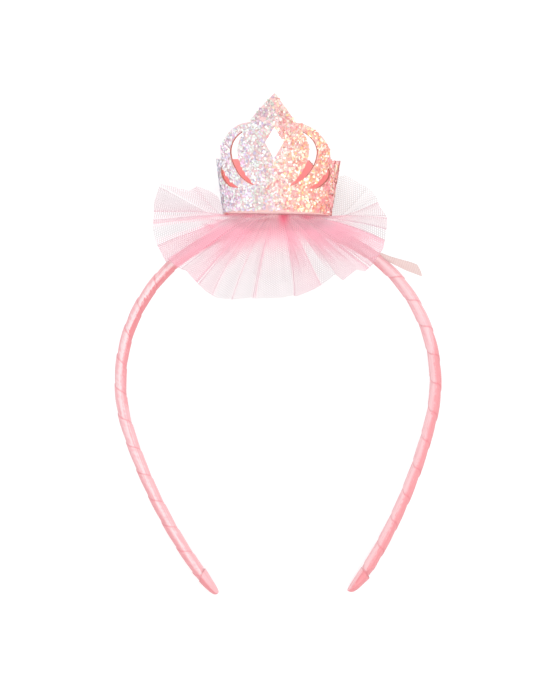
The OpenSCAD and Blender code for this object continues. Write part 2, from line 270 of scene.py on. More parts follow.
def nylon_tulle(name, dense, single):
    """Nylon tulle, a knitted net of fine threads: see-through where one ply hangs
    free, and closed and pink where it is drawn together at the hub."""
    made, tree, shader = finish(name)
    link = tree.links.new
    cloth = add(tree, "UVMap", uv_map="flat").outputs["UV"]
    gather = add(tree, "Attribute", attribute_name="gather").outputs
    density, net, deep = add(tree, "SeparateColor", {0: gather["Color"]}).outputs[:3]
    waves = 4 * math.pi / (math.sqrt(3) * NET_PITCH)
    holes = None
    for angle in (0, 60, 120):
        way = (waves * math.cos(math.radians(angle)), waves * math.sin(math.radians(angle)), 0)
        wave = add(tree, "VectorMath", {0: cloth, 1: way}, operation="DOT_PRODUCT").outputs["Value"]
        wave = add(tree, "Math", {0: wave}, operation="COSINE").outputs[0]
        holes = wave if holes is None else add(tree, "Math", {0: holes, 1: wave}).outputs[0]
    # The net shows where the cloth is spread out, and blurs where it is bunched
    threads = add(tree, "MapRange", {"Value": holes, "From Min": 2.5, "From Max": -1.0,
                                     "To Min": -0.72, "To Max": 0.4}).outputs[0]
    spread = add(tree, "Math", {0: net, 1: 0.75, 2: 0.25}, operation="MULTIPLY_ADD").outputs[0]
    threads = add(tree, "Math", {0: threads, 1: spread, 2: 1.0}, operation="MULTIPLY_ADD").outputs[0]
    density = add(tree, "Math", {0: density, 1: threads}, operation="MULTIPLY").outputs[0]
    density = add(tree, "Math", {0: deep, 1: 0.9, 2: density}, operation="MULTIPLY_ADD", use_clamp=True)
    link(density.outputs[0], shader.inputs["Alpha"])
    # Painted light and shade: where plies lie on one another their colour is painted brighter pink, as if
    # they lit each other up. A ply alone is painted greyer as shade, and so is the hub in the crown's shade
    colour = add(tree, "Mix", {0: gather["Alpha"], 6: srgb(dense), 7: srgb(single)}, data_type="RGBA")
    # Painted shade: crimson in the deep folds and along the line under the crown's front
    colour = add(tree, "Mix", {0: deep, 6: colour.outputs[2], 7: srgb("BC2E58")}, data_type="RGBA")
    link(colour.outputs[2], shader.inputs["Base Color"])
    # Painted light: the tulle glows in its own colour, standing in for light scattered between the plies
    # that fills their shadows
    link(colour.outputs[2], shader.inputs["Emission Color"])
    shader.inputs["Emission Strength"].default_value = 0.55
    shader.inputs["Roughness"].default_value = 0.6
    shader.inputs["Sheen Weight"].default_value = 0.5
    return made


def glitter_base():
    """Clear-coated paint film under the flakes, seen only between them: painted with the colour of light
    that the flakes throw on it, lilac on the viewer's left and coral on the right."""
    made, tree, shader = finish("paint film under the glitter")
    place = add(tree, "TexCoord").outputs["Object"]
    # Grit of 0.6 mm
    grit = add(tree, "TexVoronoi", {"Vector": place, "Scale": 1600.0}).outputs["Distance"]
    across = add(tree, "SeparateXYZ", {"Vector": place}).outputs["X"]
    across = add(tree, "MapRange", {"Value": across, "From Min": -0.022, "From Max": 0.018}).outputs[0]
    colour = add(tree, "Mix", {0: across, 6: srgb("D8D2E2"), 7: srgb("EFA394")}, data_type="RGBA")
    colour = add(tree, "Mix", {0: grit, 6: colour.outputs[2], 7: srgb("E2B8B4")}, data_type="RGBA")
    tree.links.new(colour.outputs[2], shader.inputs["Base Color"])
    bump = add(tree, "Bump", {"Height": grit, "Distance": 0.0003, "Strength": 0.6})
    tree.links.new(bump.outputs[0], shader.inputs["Normal"])
    shader.inputs["Roughness"].default_value = 0.45
    return made


def glitter_flake():
    """Hexagonal flakes of metallised film: each mirrors the room in its own direction, so some
    flash white, and the others show a pastel colour, whose colour play is painted by place."""
    made, tree, shader = finish("metallised film flakes, cut")
    flake = add(tree, "Attribute", attribute_name="flake").outputs["Color"]
    tree.links.new(flake, shader.inputs["Base Color"])
    place = add(tree, "TexCoord").outputs["Object"]
    haze = add(tree, "TexNoise", {"Vector": place, "Scale": 900.0, "Detail": 1.0}).outputs["Fac"]
    gloss = add(tree, "MapRange", {"Value": haze, "To Min": 0.2, "To Max": 0.45}).outputs[0]
    tree.links.new(gloss, shader.inputs["Roughness"])
    shader.inputs["Metallic"].default_value = 0.2
    shader.inputs["Coat Weight"].default_value = 0.3
    shader.inputs["Coat Roughness"].default_value = 0.12
    return made


def coated_backing():
    """Foam-backed PVC sheet, calendered: smooth coral with a faint leather grain."""
    made, tree, shader = finish("PVC backing, calendered")
    place = add(tree, "TexCoord").outputs["Object"]
    # Grain of about 0.5 mm
    grain = add(tree, "TexVoronoi", {"Vector": place, "Scale": 2000.0}, feature="SMOOTH_F1")
    grain = grain.outputs["Distance"]
    tone = add(tree, "TexNoise", {"Vector": place, "Scale": 120.0, "Detail": 2.0}).outputs["Fac"]
    colour = add(tree, "Mix", {0: tone, 6: srgb("FF9E9E"), 7: srgb("FFAAA9")}, data_type="RGBA")
    tree.links.new(colour.outputs[2], shader.inputs["Base Color"])
    bump = add(tree, "Bump", {"Height": grain, "Distance": 0.00008, "Strength": 0.3})
    tree.links.new(bump.outputs[0], shader.inputs["Normal"])
    shader.inputs["Roughness"].default_value = 0.55
    return made


def rolled_lip():
    """Soft PVC skin of the sheet, rolled under and glued: pale salmon, a little shiny."""
    made, tree, shader = finish("PVC skin, rolled under")
    place = add(tree, "TexCoord").outputs["Object"]
    tone = add(tree, "TexNoise", {"Vector": place, "Scale": 400.0, "Detail": 2.0}).outputs["Fac"]
    colour = add(tree, "Mix", {0: tone, 6: srgb("E2B4A9"), 7: srgb("F0CFC6")}, data_type="RGBA")
    tree.links.new(colour.outputs[2], shader.inputs["Base Color"])
    bump = add(tree, "Bump", {"Height": tone, "Distance": 0.0001, "Strength": 0.4})
    tree.links.new(bump.outputs[0], shader.inputs["Normal"])
    shader.inputs["Roughness"].default_value = 0.5
    return made


def die_cut_edge():
    """Cut edge of the sheet: dull brownish coral, with the fibres of the backing."""
    made, tree, shader = finish("sheet edge, die-cut")
    place = add(tree, "TexCoord").outputs["Object"]
    fibre = add(tree, "TexNoise", {"Vector": place, "Scale": 1500.0, "Detail": 2.0}).outputs["Fac"]
    colour = add(tree, "Mix", {0: fibre, 6: srgb("A85F52"), 7: srgb("D58A7B")}, data_type="RGBA")
    tree.links.new(colour.outputs[2], shader.inputs["Base Color"])
    bump = add(tree, "Bump", {"Height": fibre, "Distance": 0.0001, "Strength": 0.5})
    tree.links.new(bump.outputs[0], shader.inputs["Normal"])
    shader.inputs["Roughness"].default_value = 0.85
    return made


def craft_felt():
    """Polyester felt, needled: matt, with a fuzzy surface of crossing fibres."""
    made, tree, shader = finish("polyester felt, needled")
    place = add(tree, "TexCoord").outputs["Object"]
    # Fibre tufts of 0.4 to 1 mm
    fuzz = add(tree, "TexNoise", {"Vector": place, "Scale": 1400.0, "Detail": 4.0, "Distortion": 1.5})
    fuzz = fuzz.outputs["Fac"]
    colour = add(tree, "Mix", {0: fuzz, 6: srgb("FFDCD4"), 7: srgb("FFF0E9")}, data_type="RGBA")
    tree.links.new(colour.outputs[2], shader.inputs["Base Color"])
    bump = add(tree, "Bump", {"Height": fuzz, "Distance": 0.0004, "Strength": 0.8})
    tree.links.new(bump.outputs[0], shader.inputs["Normal"])
    shader.inputs["Roughness"].default_value = 0.95
    shader.inputs["Sheen Weight"].default_value = 0.4
    return made


def label_ribbon():
    """Woven taffeta label, folded lengthwise: cream, with ribs across it."""
    made, tree, shader = finish("polyester taffeta label, woven")
    cloth = add(tree, "UVMap", uv_map="flat").outputs["UV"]
    # Ribs of 0.1 mm are too fine to show, so they are drawn 0.45 mm apart
    ribs = add(tree, "TexWave", {"Vector": cloth, "Scale": 0.35, "Distortion": 0.6, "Detail": 1.0})
    ribs = ribs.outputs["Fac"]
    tone = add(tree, "TexNoise", {"Vector": cloth, "Scale": 0.3, "Detail": 2.0}).outputs["Fac"]
    colour = add(tree, "Mix", {0: ribs, 6: srgb("C4AEAB"), 7: srgb("D4C3BF")}, data_type="RGBA")
    colour = add(tree, "Mix", {0: tone, 6: colour.outputs[2], 7: srgb("CBB4B0")}, data_type="RGBA")
    tree.links.new(colour.outputs[2], shader.inputs["Base Color"])
    bump = add(tree, "Bump", {"Height": ribs, "Distance": 0.0001, "Strength": 0.4})
    tree.links.new(bump.outputs[0], shader.inputs["Normal"])
    shader.inputs["Roughness"].default_value = 0.6
    shader.inputs["Sheen Weight"].default_value = 0.2
    return made


# Band and ribbon
def outward(t):
    """Direction out of the head at a distance t along the band from its top."""
    s = abs(t)
    a = s / BAND_RADIUS if s < HEAD_LENGTH else HEAD_LENGTH / BAND_RADIUS + (s - HEAD_LENGTH) / ARM_RADIUS
    return Vector((math.copysign(math.sin(a), t), math.cos(a), 0))


def middle(t):
    """Middle of the band there: the head arc, then a straighter arm."""
    if abs(t) <= HEAD_LENGTH:
        return BAND_RADIUS * outward(t)
    turn = outward(math.copysign(HEAD_LENGTH, t))
    return (BAND_RADIUS - ARM_RADIUS) * turn + ARM_RADIUS * outward(t)


def rounded(v):
    """A sine or cosine bent for a section between an oval and a diamond."""
    return math.copysign(abs(v) ** (2 / BAND_ROUND), v)


def band_skin(t, q, grow=0.0, scale=1.0, lift=0.0):
    """Point of the band's skin at t, turned q round it from its outer side."""
    out = (BAND_THICK / 2 + grow) * scale * rounded(math.cos(q)) + lift * math.cos(q)
    front = (BAND_WIDTH / 2 + grow) * scale * rounded(math.sin(q)) + lift * math.sin(q)
    # A tip bends towards the head as it narrows, the one on the viewer's right more
    out -= (0.42 if t > 0 else 0.2) * BAND_THICK * (1 - scale)
    return middle(t) + out * outward(t) + Vector((0, 0, front))


def zones(t, q):
    """Painted sheen and painted shade of the satin at a point: strength of the pale zone, its pale
    and its deep zone, each over 0.5 inside it, and strength of the deep zone."""
    u = rounded(math.cos(q))
    _, pale, half, glow, deep, spread, depth = between(PAINTED_SHEEN, t)
    inside = [min(1.0, max(0.0, 0.5 + 0.8 * v)) for v in (half - abs(u - pale), spread - abs(u - deep))]
    return glow, *inside, depth


def ribbon_wrap(material):
    """One ribbon wound from tip to tip. Each turn's upper edge lies over the next."""
    end = HALF_LENGTH - 3
    turns = math.ceil(2 * end / WRAP_PITCH + 1.4)
    plain = HALF_LENGTH - 12

    def shape(along, across):
        # The rows lie closer towards the ribbon's edges
        across -= 0.07 * math.sin(2 * math.pi * across)
        share = -RIBBON_TUCK + (1 + RIBBON_TUCK) * across
        turned = turns * 2 * math.pi * (along - 0.5)
        t = (share - turned / (2 * math.pi)) * WRAP_PITCH
        # Under the rosette the turns lie a little further apart
        t -= 4.7 * eased((-t - 5) / 35)
        # The edges run flatter over the band's face than a screw thread, most on the right arm
        t -= (0.35 + 0.5 * eased((t - 60) / 40)) * math.sin(2 * turned)
        # The ribbon climbs from under the turn before to its free edge, which turns down
        lift = RIBBON_STEP * (0.1 + (0.9 if share > 0 else 0.5) * share)
        lift += 0.09 * math.sin(math.pi * max(0, share)) ** 2
        lift *= 1 - eased((share - 0.95) / 0.05)
        cloth = Vector((turned / (2 * math.pi) * TURN_LENGTH, RIBBON_WIDTH * across))
        pucker = noise.noise(Vector((cloth.x * 0.5, cloth.y * 0.12, 3)))
        lift += 0.05 * pucker * eased((share + 0.1) * 3)
        # Under the tip folds it lies flat
        lift *= 1 - eased((abs(t) - plain) / 2)
        t = max(-end, min(end, t))
        scale = between(TAPER, HALF_LENGTH - 1 - abs(t))[1]
        return band_skin(t, turned, 0.02, scale, lift), cloth, zones(t, turned)

    bm = laid_grid(turns * 40, 16, shape)
    bmesh.ops.dissolve_degenerate(bm, dist=0.0005, edges=bm.edges)
    made = piece("ribbon_wrap", bm, FRONT, [material])
    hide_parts("band")
    return made


def band_core(material):
    """The sprung strip inside the wrap, with rounded ends."""
    def shape(along, around):
        t = (along - 0.5) * 2 * (HALF_LENGTH - 3)
        scale = between(TAPER, HALF_LENGTH - 1.2 - abs(t))[1]
        return band_skin(t, around * 2 * math.pi, -0.2, scale), Vector((t, around)), PLAIN

    bm = laid_grid(160, 20, shape, close=True)
    bmesh.ops.holes_fill(bm, edges=bm.edges, sides=0)
    bmesh.ops.recalc_face_normals(bm, faces=bm.faces)
    return piece("band_core", bm, FRONT, [material])


def tip_fold(side, material):
    """The ribbon's end, folded over the tip: a slanting mouth whose free edge stands
    proud on the viewer's right of both tips."""
    end = HALF_LENGTH + (RIGHT_TIP_MORE if side > 0 else 0)

    def shape(along, around):
        q = around * 2 * math.pi
        free = (1 + side * math.cos(q)) / 2
        # The mouth slants, and lies higher on the viewer's left of the right tip
        reach = 0.05 + (11 - 1.9 * free if side > 0 else 8.4 + 2.8 * free) * along
        scale = between(TAPER, reach)[1]
        grow = 0.24 + 0.4 * free ** 2 * eased(along * 2 - 1)
        crease = math.sin(side * q - 0.9 - 1.1 * along)
        grow += 0.14 * eased(crease * 3) * eased((1 - along) * 3)
        grow += 0.07 * noise.noise(Vector((math.cos(q) * 1.4, math.sin(q) * 1.4, along * 3 + side)))
        cloth = Vector((around * 19, 6.1 + along * 6.5))
        # Painted light from the left: a painted pale stripe on the left tip, a pale left side on the right
        # one, and painted deep coral shade towards their outer sides
        u = rounded(math.cos(q))
        light = (0.1 - abs(u), u) if side < 0 else (0.15 - abs(u + 0.75), u + 0.5)
        light = [min(1.0, max(0.0, 0.5 + 0.8 * v)) for v in light]
        return band_skin(side * (end - reach), q, grow, scale), cloth, (0.4, *light, 0.9)

    bm = laid_grid(24, 64, shape, close=True)
    tip = [e for e in bm.edges if e.is_boundary
           and all((v.co - middle(side * end)).length < 2 for v in e.verts)]
    bmesh.ops.holes_fill(bm, edges=tip, sides=0)
    name = "tip_fold_right" if side > 0 else "tip_fold_left"
    made = piece(name + "_ribbon", bm, FRONT, [material])
    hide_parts(name)
    return made


# Crown
def curved(rows, steps=5):
    """The rows with a smooth curve through them."""
    made = []
    for i in range(len(rows) - 1):
        a, b, c, d = (Vector(rows[max(0, min(len(rows) - 1, k))]) for k in (i - 1, i, i + 1, i + 2))
        for s in range(steps):
            x = s / steps
            made.append(tuple(0.5 * (2 * b + (c - a) * x + (2 * a - 5 * b + 4 * c - d) * x ** 2
                                     + (3 * b - a - 3 * c + d) * x ** 3)))
    return made + [tuple(rows[-1])]


def wall_cut(facing, outline):
    """A cutter that goes straight out through the crown's wall towards an azimuth."""
    bm = bmesh.new()
    corners = [bm.verts.new(((CROWN_RADIUS + CROWN_LEAN * h) * math.sin(math.radians(a - facing)), h, 8))
               for a, h in outline]
    face = bm.faces.new(corners)
    pushed = bmesh.ops.extrude_face_region(bm, geom=[face])["geom"]
    bmesh.ops.translate(bm, vec=(0, 0, 32), verts=[v for v in pushed if isinstance(v, bmesh.types.BMVert)])
    bmesh.ops.recalc_face_normals(bm, faces=bm.faces)
    bmesh.ops.rotate(bm, cent=(0, 0, 0), verts=bm.verts,
                     matrix=Matrix.Rotation(math.radians(facing - CROWN_YAW), 3, "Y"))
    return bm


def window(facing, rows, side=1):
    """Cutter for a window given as rows of height, inner and outer angle."""
    skew = CROWN_SKEW if side * facing else 0
    return wall_cut(side * facing, [(side * r[1] + skew, r[0]) for r in rows]
                    + [(side * r[2] + skew, r[0]) for r in reversed(rows)])


def back_cutter():
    """Takes the crown's back off above its top edge, which falls a little to the back."""
    bm = bmesh.new()
    bmesh.ops.create_cube(bm, size=1, matrix=Matrix.Diagonal((100, 50, 80, 1)))
    roll = Matrix.Rotation(math.radians(-0.2), 4, "Z")
    tilt = math.atan((24.4 - 20.8) / (1.47 * CROWN_RADIUS + 5))
    bmesh.ops.transform(bm, verts=bm.verts, matrix=Matrix.Rotation(math.radians(-CROWN_YAW), 4, "Y")
                        @ Matrix.Translation((0, 20.8, 10.8)) @ roll @ Matrix.Rotation(tilt, 4, "X")
                        @ Matrix.Translation((0, 25, -40)))
    return bm


def seam_cutter():
    """Groove under the notch, where the strip's ends meet."""
    bm = bmesh.new()
    bmesh.ops.create_cube(bm, size=1, matrix=Matrix.Diagonal((0.4, 40, 2, 1)))
    turn = Matrix.Rotation(math.radians(145.75 - CROWN_YAW), 4, "Y")
    bmesh.ops.transform(bm, verts=bm.verts, matrix=turn @ Matrix.Rotation(math.radians(-8.5), 4, "X")
                        @ Matrix.Translation((0, 15, CROWN_RADIUS + 0.65)))
    return bm


def crown_cutters():
    """All that is cut from the rolled strip, one cutter after the other."""
    shoulder = ORNAMENT[:3] + curved(ORNAMENT[2:10])[1:] + ORNAMENT[10:]
    # Each half starts a little past the middle, on the line of its own slope
    half = [(-4, 60), (-4, 47.05)] + shoulder + [(68, 60)]
    for side in (-1, 1):
        yield wall_cut(side * 31, [(side * a + POINT_SKEW * min(1, max(0, a / 20.6)), h) for a, h in half])
    yield back_cutter()
    yield window(0, DIAMOND)
    for side in (-1, 1):
        yield window(31, curved(BIG_CRESCENT), side)
        yield window(51, curved(SMALL_CRESCENT), side)
    yield wall_cut(146, BACK_NOTCH)
    yield seam_cutter()


def crown_sheet(outer, inner, edge):
    """One strip of glitter sheet rolled into a flared ring, with its windows cut out.
    Gives its wall, for rays, and the numbers of its outside faces."""
    bm = bmesh.new()
    top, lean = 46, CROWN_LEAN * 46
    corners = [bm.verts.new(p) for p in ((CROWN_RADIUS, 0, 0), (CROWN_RADIUS + lean, top, 0),
                                         (CROWN_RADIUS - SHEET_THICK + lean, top, 0),
                                         (CROWN_RADIUS - SHEET_THICK, 0, 0))]
    edges = [bm.edges.new((corners[i], corners[(i + 1) % 4])) for i in range(4)]
    bmesh.ops.spin(bm, geom=corners + edges, cent=(0, 0, 0), axis=(0, 1, 0),
                   angle=2 * math.pi, steps=180, use_merge=True)
    bmesh.ops.recalc_face_normals(bm, faces=bm.faces)
    blank = bpy.data.meshes.new("crown blank")
    bm.to_mesh(blank)
    bm.free()
    ring = bpy.data.objects.new("crown blank", blank)
    bpy.context.scene.collection.objects.link(ring)
    knives = []
    for cutter in crown_cutters():
        mesh = bpy.data.meshes.new("knife")
        cutter.to_mesh(mesh)
        cutter.free()
        knife = bpy.data.objects.new("knife", mesh)
        bpy.context.scene.collection.objects.link(knife)
        cut = ring.modifiers.new("cut", "BOOLEAN")
        cut.operation, cut.solver, cut.object = "DIFFERENCE", "EXACT", knife
        knives.append(knife)
    bm = bmesh.new()
    bm.from_object(ring, bpy.context.evaluated_depsgraph_get())
    for spare in [ring] + knives:
        bpy.data.objects.remove(spare)
    bmesh.ops.remove_doubles(bm, verts=bm.verts, dist=0.002)
    for face in bm.faces:
        centre = face.calc_center_median()
        facing = face.normal.dot(Vector((centre.x, 0, centre.z)).normalized())
        below = face.normal.y < -0.9 and centre.y < 0.5
        face.material_index = 0 if facing > 0.8 else 1 if facing < -0.8 or below else 2
    wall = BVHTree.FromBMesh(bm)
    outside = {f.index for f in bm.faces if f.material_index == 0}
    made = piece("crown_sheet", bm, SEAT, [outer, inner, edge], smooth_below=25)
    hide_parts("crown")
    return wall, outside


# Flake colours at places across the crown, from -1 on the viewer's left to 1 on the right:
# the film's colour play, a reflection that changes with angle, is painted by place and goes from lilac over
# white to gold and coral
FILM = [(-1.15, ["E0E4F2", "E6E4F0", "D2D8EE", "ECEAF2", "E4EEF0", "D6D6EC", "ECE6EC", "F4F6F4"]),
        (-0.8, ["FAFEF6", "F6E8EE", "E4DEEE", "F2CAE2", "ECF6EE", "DCD0EA", "F8E6EA", "F2F6F0", "EBC0DC"]),
        (-0.4, ["F0F2EA", "EAEAE8", "DEDCE2", "E6C0D4", "DCE4DC", "D4C6DC", "E9D6DC", "E8ECE4", "C6BCD6"]),
        (-0.1, ["DFDBD3", "DCD8CE", "DDD8CA", "D4CDCA", "D8B1BD", "CBD1C5", "DBC6C4", "D6BAC0", "C5AAC1"]),
        (0.15, ["E6D4C8", "E5CFBC", "E3B4B0", "E29FA2", "E5C4A8", "DF8F94", "E3CBBA", "E2ADA9", "E0978F"]),
        (0.45, ["FBF2E4", "F7E4C4", "F3AD94", "F2A294", "F5C990", "F0A197", "F8DCB8", "F0988C", "FDF4E6"]),
        (0.75, ["FDF4E8", "FBE6C0", "FAA78F", "F89A8A", "FBC488", "F69488", "FDD6B0", "FAAE97", "FEF2E6"]),
        (1.0, ["FDB8B2", "FA9A98", "F99096", "FCA69E", "F78C96", "FDC6BC", "F994A6", "FCAEAA", "FDD8CC"])]


def crown_glitter(wall, outside, material):
    """Thousands of flat hexagons, glued at all angles over the outside of the sheet."""
    spots = []
    while len(spots) < FLAKES:
        azimuth, height = random.uniform(-math.pi, math.pi), random.uniform(0.1, 46)
        way = Vector((math.sin(azimuth), 0, math.cos(azimuth)))
        from_outside = way * 60 + Vector((0, height, 0))
        side = Vector((way.z, 0, -way.x))
        hit, normal, face, _ = wall.ray_cast(from_outside, -way)
        # A flake lies on the sheet up to its edges, and hardly hangs over them
        around = (side * FLAKE_MARGIN, side * -FLAKE_MARGIN,
                  Vector((0, FLAKE_MARGIN, 0)), Vector((0, -FLAKE_MARGIN, 0)))
        if face in outside and all(wall.ray_cast(from_outside + off, -way)[2] in outside for off in around):
            spots.append((hit, normal, azimuth + math.radians(CROWN_YAW)))
    bm = bmesh.new()
    bmesh.ops.create_circle(bm, cap_ends=True, segments=6, radius=1)
    while len(bm.faces) < len(spots):
        bmesh.ops.duplicate(bm, geom=bm.verts[:] + bm.edges[:] + bm.faces[:])
    bm.faces.ensure_lookup_table()
    bmesh.ops.delete(bm, geom=bm.faces[len(spots):], context="FACES")
    tint = bm.loops.layers.float_color.new("flake")
    for face, (hit, normal, azimuth) in zip(bm.faces, spots):
        lean = abs(random.gauss(0, 0.25))
        about = Vector((random.uniform(-1, 1), random.uniform(-1, 1), 0)).normalized()
        place = (Matrix.Translation(hit + normal * random.uniform(0.08, 0.3))
                 @ normal.to_track_quat("Z", "Y").to_matrix().to_4x4() @ Matrix.Rotation(lean, 4, about)
                 @ Matrix.Rotation(random.uniform(0, 1.05), 4, "Z")
                 @ Matrix.Scale(random.uniform(0.4, 0.62), 4))
        # Painted reflection: neighbouring flakes get alike colours in small patches, as if they lay alike
        across = math.sin(azimuth) + random.gauss(0, 0.07) + 0.3 * noise.noise(hit * 0.3)
        colour = srgb(random.choice(min(FILM, key=lambda family: abs(family[0] - across))[1]))
        # Painted shade: the pointed top's flakes are painted a little darker, as if it got less light
        light = 0.98 - 0.15 * eased((hit.y - 28) / 10)
        colour = [c * light for c in colour[:3]] + [1]
        for loop in face.loops:
            loop.vert.co = place @ loop.vert.co
            loop[tint] = colour
    made = piece("crown_glitter", bm, SEAT, [material])
    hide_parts("crown")
    return made


def crown_lip(material):
    """The sheet's backing, rolled under along the crown's lower edge as a thin lip."""
    bm = bmesh.new()
    bmesh.ops.create_circle(bm, segments=10, radius=0.25,
                            matrix=Matrix.Translation((CROWN_RADIUS - 0.3, -0.12, 0)))
    bmesh.ops.spin(bm, geom=bm.verts[:] + bm.edges[:], cent=(0, 0, 0), axis=(0, 1, 0),
                   angle=2 * math.pi, steps=120, use_merge=True)
    bmesh.ops.recalc_face_normals(bm, faces=bm.faces)
    made = piece("crown_lip", bm, SEAT, [material])
    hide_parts("crown")
    return made


def felt_disc(material):
    """Felt disc in the crown's bottom, with softly rounded rims."""
    bm = bmesh.new()
    radius = CROWN_RADIUS - SHEET_THICK - 0.5
    lying = Matrix.Translation((0, 0.75, 0)) @ Matrix.Rotation(math.radians(-90), 4, "X")
    bmesh.ops.create_cone(bm, cap_ends=True, segments=96, radius1=radius, radius2=radius + 0.2,
                          depth=1.5, matrix=lying)
    rims = [e for e in bm.edges if any(len(f.verts) > 4 for f in e.link_faces)]
    bmesh.ops.bevel(bm, geom=rims, offset=0.35, segments=3, profile=0.5, affect="EDGES", material=-1)
    made = piece("felt_disc", bm, SEAT, [material], smooth_below=40)
    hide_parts("base_disc")
    return made


# Tulle
def rim_at(azimuth):
    """Reach, rise and start of the drape of the rosette's rim towards an azimuth."""
    ring = [(RIM[-1][0] - 360,) + RIM[-1][1:]] + RIM + [(RIM[0][0] + 360,) + RIM[0][1:]]
    return between(ring, azimuth % 360)[1:]


def hole_at(hole, azimuth):
    """Reach of a ply's oval hole, given by its half widths across and to the front."""
    a = math.radians(azimuth)
    return 1 / math.sqrt((math.sin(a) / hole[0]) ** 2 + (math.cos(a) / hole[1]) ** 2)


def drape(azimuth, share, ply, hole, cut):
    """Point of a ply towards an azimuth, from the hub (share 0) to its rim (share 1), and
    the way its upper side faces there."""
    reach, rise, start = rim_at(azimuth)
    inner = hole_at(hole, azimuth)
    radius = inner + (reach * cut - inner) * share
    out = max(0, (radius - start) / (reach - start))
    slope = rise * 1.25 * out ** 0.25 / (reach - start) if out > 0 else 0
    normal = Vector((-slope, 1)).normalized()
    drop = ply * (1.45 + 1.3 * min(1, max(0, (radius - 10) / 25)))
    height = -0.45 + rise * out ** 1.25
    a = math.radians(azimuth)
    way = Vector((math.sin(a), 0, math.cos(a)))
    place = way * (radius - drop * normal.x) + Vector((0, height - drop * normal.y, 0))
    return place, way * normal.x + Vector((0, normal.y, 0))


def sway(azimuth, share):
    """Degrees by which folds bend on their way out. The one on the viewer's left narrows
    towards its rim."""
    bend = math.sin(math.radians(azimuth * 5 + 60)) + 0.6 * math.sin(math.radians(azimuth * 11))
    bend *= 1.6 * math.sin(math.pi * share)
    return bend - 0.7 * (azimuth + 88) * peak(azimuth, -88, 8) * eased((share - 0.4) / 0.5)


def painted_fold_shade(place):
    """How much painted crimson shade a point gets: along the line where the ply is glued under the
    crown's front, and in the deep folds there."""
    deep = 0.12 * (1 - eased((-0.4 - place.y) / 0.8))
    for x, width, depth, strength in PAINTED_FOLD_SHADES:
        deep = max(deep, strength * peak(place.x, x, width) * (1 - eased((-0.8 - place.y) / depth)))
    return deep * eased(place.z / 3) * eased((20.5 - abs(place.x)) / 2)


def painted_crown_shade(place):
    """How much painted shade of the crown a point of the rosette's front gets."""
    return (1 - eased((-3 - place.y) / 7)) * eased(place.z / 3) * eased((26 - abs(place.x)) / 5)


def pleated_path(first, last, pleats):
    """The way a ply runs round the hub: forward to each pleat's end, back to its start
    and forward again. Gives rows of cloth length, azimuth and side of the fold."""
    rows = [(0.0, first, 0.0)]
    for start, end, _ in pleats:
        for azimuth, side in ((end, 1.0), (start, -1.0)):
            rows.append((rows[-1][0] + abs(azimuth - rows[-1][1]), azimuth, side))
    rows.append((rows[-1][0] + abs(last - rows[-1][1]), last, 0.0))
    return rows


def tulle_ply(name, node, material, ply, hole, cut, pleats, first, last, thin, thick):
    """One gathered ply, counted from 0 at the top, from the azimuth first to last. Its net
    is thick at the hub and thin at the rim, and its folds run out from the hub as fine
    lines. A pleat is three layers deep and is closed towards its second fold, as far as
    its third number says."""
    path = pleated_path(first, last, pleats)
    length = path[-1][0]

    def shape(along, share):
        s = along * length
        _, azimuth, side = between(path, s)
        turned = (azimuth + 180) % 360 - 180
        place, normal = drape(azimuth + sway(azimuth, share), share, ply, hole, between(cut, azimuth)[1])
        # The net lies as on a flat fan, and a pleat's layers cross at a small angle
        turn = Matrix.Rotation(math.radians(6 * side), 2)
        cloth = turn @ Vector((place.x + 0.1 * place.z, place.y - 0.12 * place.z))
        wave = 0.15 * math.sin(s * 0.19) + 0.2 * noise.noise(Vector((s * 0.07, share, ply * 9)))
        gathers = 0.05 * math.sin(s * 1.3 + 2 * math.sin(s * 0.3)) * (1 - eased(share * 2))
        place += normal * (side * 0.28 * (0.3 + share) + wave * (0.2 + share) + gathers)

        # How far the ply hangs alone, which is painted greyer as shade, where it is dense, and how much its
        # net shows
        painted_grey_shade = 0.0 if ply else eased(share * 1.5 - 0.3)
        weight, dense_to, net = 1.0, 0.72, share
        for start, end, closed in pleats:
            if start - 0.6 <= azimuth <= end + 0.6:
                closed *= 0.6 + 0.4 * (azimuth - start) / (end - start)
                painted_grey_shade *= 1 - closed
                dense_to += 0.4 * closed
                # A pleat's three layers share the weight of one where it is open
                if start + 0.7 <= azimuth <= end - 0.7:
                    weight = (1 + 2 * closed) / 3
        # The lobe at the back on the viewer's left is softer
        if turned < -104:
            painted_grey_shade, net = 0.5 * painted_grey_shade, 0.55 * net
        # Each fold shows as a line, but not behind the crown, where the ply is thin
        line = peak(min([9.0] + [abs(s - row[0]) for row in path[1:-1]]), 0, 0.8)
        if abs(turned) > 132:
            weight, line = 0.1, 0.0
        # The crown's shade on the rosette's front is painted greyer too
        painted_grey_shade = max(painted_grey_shade, painted_crown_shade(place) * (0.4 if ply == 0 else 1))
        # Streaks where the gathers bunch the threads run out from the hub, and the viewer's
        # left is a little thinner
        weight *= 1 + 0.25 * noise.noise(Vector((s * 0.16, share * 0.8, ply * 5)))
        weight *= 1 - 0.14 * peak(azimuth, -78, 12)
        density = thin + (thick - thin) * (1 - eased((share - 0.25) / (dense_to - 0.25)))
        density *= weight + 0.1 * line
        # The two shorter plies end softly, and the back of the long one is thin and creased
        density *= 1 - eased((share - 0.65) / 0.35) if ply else 1 - 0.25 * eased((turned - 88) / 8)
        density *= 1 + 0.35 * sum(peak(azimuth, crease, 1.4) for crease in BACK_CREASES)
        return place, cloth, (density, net, painted_fold_shade(place), painted_grey_shade * (1 - 0.5 * line))

    bm = laid_grid(round(length * 1.6), 30, shape)
    made = piece(name, bm, SEAT, [material])
    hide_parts(node)
    return made


